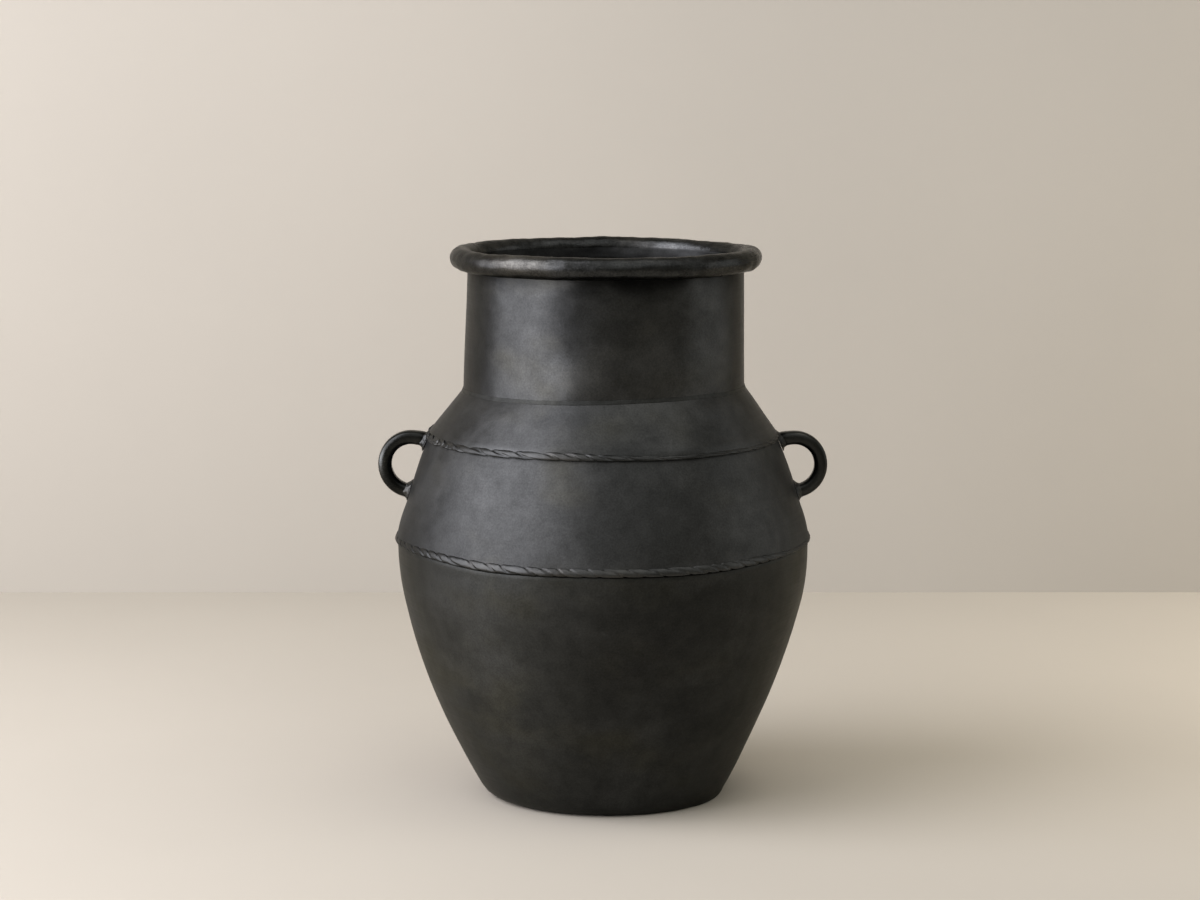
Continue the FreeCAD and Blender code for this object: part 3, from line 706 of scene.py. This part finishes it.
# Painted highlights where the key light's reflection lies: on the rim's top at the front left, and inside at
# the back right
rim_front_highlight = ((-0.108, -0.16, 0.679), (0.075, 0.06, 0.022), 2.2)
rim_back_highlight = ((0.1, 0.15, 0.67), (0.06, 0.05, 0.04), 1.7)
tube_iron = blackened_iron("blackened_tube_iron", "#313232", "#3e3f3f", "#3c3b38", rough=(0.27, 0.35),
                           grain=(0.9, 0.25), marks=(rim_front_highlight, rim_back_highlight), fleck=0.5)
rim.data.materials.append(tube_iron)
rim.data.materials.append(belly_iron)
# The flush inside is scaled duller than the glossier tube
upright = 0.9             # level share of a normal from which a face counts as upright
for face in rim.data.polygons:
    level = Vector((face.normal.x, face.normal.y, 0))
    if level.length > upright and level.dot(face.center) < 0 and face.center.z < rim_height * mm:
        face.material_index = 1
fit(rim, "rim_ring")
rim_bead = [(170.3, 658.8), (170.3, 653.6), (172.6, 655.2), (175.2, 656.6), (178.0, 655.9), (172.6, 658.0)]
ring_bead("rim_bead", rim_bead, dressed_ripple, "rim_weld", bowl_iron)

# Handles: a bar with rounded edges bent to a loop in one heat, its two ends spread a little, set on the
# shell and welded on with dabs that flow up round the bar. The left one mirrors the right one.
loop_centre = (236.3, 412.2)
loop_round = 33.6
loop_turn = 172.0      # degrees
loop_steps = 26
bar_thick = 16.5
bar_wide = 22.0
bar_edge = 6.5
bend_spread = 1.02     # growth of the bar's section at the upper bend
upper_spread = 1.06    # and from there to the upper end
lower_spread = 1.1     # and from the loop to the lower end
root_sink = 0.9        # mm that the ends sit below the shell's outer face
upper_bend = (228.0, 445.0)   # where the bar's upper end begins to dip to its root
upper_root = (216.7, 443.2)
upper_root_slope = 23.2
lower_root = (239.6, 379.3)
lower_root_slope = 17.2


def bar_section(name, place, grow=0.0):
    """Edges of the bar's rounded section, square to X, at a place (x, z) in mm."""
    bpy.ops.object.select_all(action="DESELECT")
    centre = (place[0] * mm, 0, place[1] * mm)
    bpy.ops.mesh.primitive_plane_add(size=1, location=centre, rotation=(0, math.pi / 2, 0))
    section = new_piece(name)
    open_mesh()
    wide, thick = bar_wide + 2 * grow, bar_thick + 2 * grow
    bpy.ops.transform.resize(value=(1, wide * mm, thick * mm), center_override=centre)
    bpy.ops.mesh.bevel(offset=(bar_edge + grow) * mm, segments=4, affect="VERTICES")
    bpy.ops.mesh.select_all(action="SELECT")
    bpy.ops.mesh.delete(type="ONLY_FACE")
    bpy.ops.mesh.select_all(action="SELECT")
    return section


def draw_out(start, end, grow, tilt=0.0):
    """Extrudes the selected section from one place (x, z) to another, in mm, grown and tilted about Y."""
    step = ((end[0] - start[0]) * mm, 0, (end[1] - start[1]) * mm)
    centre = (end[0] * mm, 0, end[1] * mm)
    bpy.ops.mesh.extrude_edges_move(TRANSFORM_OT_translate={"value": step})
    bpy.ops.transform.resize(value=(1, grow, grow / math.cos(math.radians(tilt))), center_override=centre)
    if tilt:
        bpy.ops.transform.rotate(value=math.radians(tilt), orient_axis="Y", center_override=centre)


loop_top = (loop_centre[0], loop_centre[1] + loop_round)
right_handle = bar_section("right_handle_bar", loop_top)
loop_middle = (loop_centre[0] * mm, 0, loop_centre[1] * mm)
bpy.ops.mesh.spin(steps=loop_steps, angle=-math.radians(loop_turn), center=loop_middle, axis=(0, 1, 0))
end_angle = math.radians(90 - loop_turn)
loop_end = (loop_centre[0] + loop_round * math.cos(end_angle),
            loop_centre[1] + loop_round * math.sin(end_angle))
sunk_low = (lower_root[0] - root_sink, lower_root[1])
draw_out(loop_end, sunk_low, lower_spread, lower_root_slope - (loop_turn - 180))
bpy.ops.object.mode_set(mode="OBJECT")
select_points(right_handle,
              lambda co: abs(co.x - loop_top[0] * mm) < 0.01 * mm and co.z > loop_centre[1] * mm)
sunk_high = (upper_root[0] - root_sink, upper_root[1])
draw_out(loop_top, upper_bend, bend_spread)
draw_out(upper_bend, sunk_high, upper_spread, upper_root_slope)
bpy.ops.mesh.select_all(action="SELECT")
bpy.ops.mesh.fill_holes(sides=0)
close_mesh()
apply(right_handle, "SUBSURF", levels=1, render_levels=1)
# On the left handle, a painted highlight along the outer side of the bend and painted shade on its inner face
left_bend_highlight = ((-0.285, 0, 0.43), (0.016, 0.05, 0.058), 3.8)
left_bend_shade = ((-0.258, 0, 0.4), (0.016, 0.05, 0.045), 0.45)
bar_iron = blackened_iron("blackened_bar_iron", "#2e2f2e", "#393a39", "#373732", rough=(0.27, 0.35),
                          grain=(0.5, 0.12), marks=(left_bend_highlight, left_bend_shade), drawn=loop_middle)


def root_dab(name, root, slope, skew, spread):
    """Weld round a bar's end: a closed sleeve with a hollow face that spreads so many mm on the shell and
    runs thin up the bar. The skew slides it along with a bar that isn't square to the shell.
    Rings are given as height off the shell and growth of the bar's section, in mm."""
    rings = ((-1.4, spread), (-0.5, spread), (0.5, spread * 0.64), (1.7, spread * 0.38), (3.4, spread * 0.17),
             (5.6, 0.1), (7.0, -0.6), (6.0, -1.4), (-1.4, -1.4))
    height, grow = rings[0]
    dab = bar_section(name, root, grow)
    for height_next, grow_next in rings[1:] + rings[:1]:
        step = ((height_next - height) * mm, 0, (height_next - height) * skew * mm)
        wider = (bar_wide + 2 * grow_next) / (bar_wide + 2 * grow)
        thicker = (bar_thick + 2 * grow_next) / (bar_thick + 2 * grow)
        centre = ((root[0] + height_next) * mm, 0, (root[1] + height_next * skew) * mm)
        bpy.ops.mesh.extrude_edges_move(TRANSFORM_OT_translate={"value": step})
        bpy.ops.transform.resize(value=(1, wider, thicker), center_override=centre)
        height, grow = height_next, grow_next
    bpy.ops.mesh.select_all(action="SELECT")
    bpy.ops.transform.rotate(value=math.radians(slope), orient_axis="Y",
                             center_override=(root[0] * mm, 0, root[1] * mm))
    close_mesh(weld=0.02)
    apply(dab, "SUBSURF", levels=2, render_levels=2)
    return dab


right_upper_dab = root_dab("right_handle_upper_dab", upper_root, upper_root_slope, skew=-0.43, spread=7.0)
right_lower_dab = root_dab("right_handle_lower_dab", lower_root, lower_root_slope, skew=-0.17, spread=5.0)


def set_on_shell(piece, lumps, material, node_name):
    """Moves a finished piece with the shell under it and dresses it. Weld stands in lumps of some mm."""
    pick(piece)
    bpy.ops.transform.translate(value=(lean(loop_centre[1]) * mm, 0, 0))
    bpy.ops.object.transform_apply(location=True, rotation=True, scale=True)
    if lumps:
        apply(piece, "DISPLACE", texture=bead_ripple, texture_coords="LOCAL", mid_level=0.5,
              strength=lumps * mm)
    hand_work(piece)
    smooth_shade(piece, 60)
    piece.data.materials.append(material)
    fit(piece, node_name)


right_lumps = 0.8      # mm, dressed smooth
left_lumps = 3.0       # mm, left rough
for piece, material, slot, node_name in ((right_handle, bar_iron, "handle_bar", "handle"),
                                         (right_upper_dab, weld_iron, "weld_metal", "handle_upper_weld"),
                                         (right_lower_dab, weld_iron, "weld_metal", "handle_lower_weld")):
    welded = slot == "weld_metal"
    pick(piece)
    bpy.ops.object.duplicate()
    mirrored = bpy.context.object
    mirrored.name = mirrored.data.name = piece.name.replace("right", "left")
    bpy.ops.transform.resize(value=(-1, 1, 1), center_override=(0, 0, 0))
    bpy.ops.object.transform_apply(location=True, rotation=True, scale=True)
    # Mirrored faces look inwards until they are turned again
    open_mesh()
    close_mesh()
    set_on_shell(piece, right_lumps * welded, material, "right_" + node_name)
    set_on_shell(mirrored, left_lumps * welded, material, "left_" + node_name)

# Stage: a plain pale floor and a plain backdrop, a tall soft light at the left with a smaller one above it,
# weak ones overhead, in front and at the right, and an even dim surrounding. The camera has the height and
# distance of the picture.
board_size = 16           # m, far past the picture's edges
backdrop_place = 1.32     # m behind the planter's axis


def plain_surface(name, code):
    """Matt painted board: an even pale colour with a very slow drift of tone."""
    material = bpy.data.materials.new(name)
    material.use_nodes = True
    tree = material.node_tree
    shader = tree.nodes["Principled BSDF"]
    place = node(tree, "TexCoord").outputs["Object"]
    drift = node(tree, "TexNoise", {"Vector": place, "Scale": 1.2, "Detail": 3.0}).outputs["Fac"]
    tone = node(tree, "MapRange", {"Value": drift, "To Min": 0.94, "To Max": 1.06}).outputs["Result"]
    paint = node(tree, "Mix", {"Factor": 1.0, "A": colour(code), "B": tone}, data_type="RGBA",
                 blend_type="MULTIPLY").outputs["Result"]
    tree.links.new(paint, shader.inputs["Base Color"])
    shader.inputs["Roughness"].default_value = 0.9
    shader.inputs["Specular IOR Level"].default_value = 0.2
    return material


bpy.ops.object.select_all(action="DESELECT")
bpy.ops.mesh.primitive_plane_add(size=board_size, location=(0, 0, 0))
floor = new_piece("floor")
floor.data.materials.append(plain_surface("matt_pale_board", "#c2bcb0"))
bpy.ops.mesh.primitive_plane_add(size=board_size, location=(0, backdrop_place, 0),
                                 rotation=(math.pi / 2, 0, 0))
backdrop = new_piece("backdrop")
backdrop_paint = plain_surface("matt_pale_backdrop", "#bab5ab")
backdrop.data.materials.append(backdrop_paint)
tree = backdrop_paint.node_tree
# Seen from behind, the backdrop is left out of the picture
facing = node(tree, "NewGeometry").outputs["Backfacing"]
board = node(tree, "MixShader", {"Fac": facing, 1: tree.nodes["Principled BSDF"].outputs["BSDF"],
                                 2: node(tree, "BsdfTransparent").outputs["BSDF"]})
tree.links.new(board.outputs["Shader"], tree.nodes["Material Output"].inputs["Surface"])


def soft_light(name, power, size, place, target, tint="#ffffff", spread=180):
    """Rectangular lamp of some watts at a place, turned to a target, its size and both points in metres."""
    lamp = bpy.data.lights.new(name, "AREA")
    lamp.spread = math.radians(spread)
    lamp.color = colour(tint)[:3]
    lamp.shape = "RECTANGLE"
    lamp.size, lamp.size_y = size
    lamp.energy = power
    light = bpy.data.objects.new(name, lamp)
    bpy.context.scene.collection.objects.link(light)
    light.location = place
    light.rotation_euler = (Vector(target) - Vector(place)).to_track_quat("-Z", "Y").to_euler()


soft_light("tall_left", 106, (3.2, 2.36), (-2.2, -0.94, 1.2), (0, 0, 0.5), "#f9f7ff")
soft_light("high_left", 28, (1.6, 1.6), (-1.55, -0.6, 2.7), (0, 0, 0.4), "#f9f7ff")
soft_light("overhead", 22, (3.0, 3.0), (0.8, -0.8, 3.3), (0.3, 0, 0.3))
soft_light("front_high", 9, (3.0, 2.0), (0.2, -2.7, 2.5), (0, 0, 0.4))
soft_light("right_wall", 9, (2.0, 2.0), (2.6, 0.2, 1.1), (0, 0, 0.5))
soft_light("right_floor", 8, (1.4, 2.0), (1.5, 0.2, 2.6), (1.7, 0.7, 0), "#fff2e2", spread=60)
world = bpy.data.worlds.new("surrounding")
bpy.context.scene.world = world
world.use_nodes = True
world.node_tree.nodes["Background"].inputs["Color"].default_value = colour("#eee9da")
world.node_tree.nodes["Background"].inputs["Strength"].default_value = 0.32

lens = bpy.data.cameras.new("camera")
lens.lens = 93.3
lens.sensor_width = 36
camera = bpy.data.objects.new("camera", lens)
bpy.context.scene.collection.objects.link(camera)
camera.location = (-0.0037, -3.821, 0.975)
camera.rotation_euler = (math.radians(81.88), 0, 0)
bpy.context.scene.camera = camera
bpy.context.scene.view_settings.view_transform = "Standard"
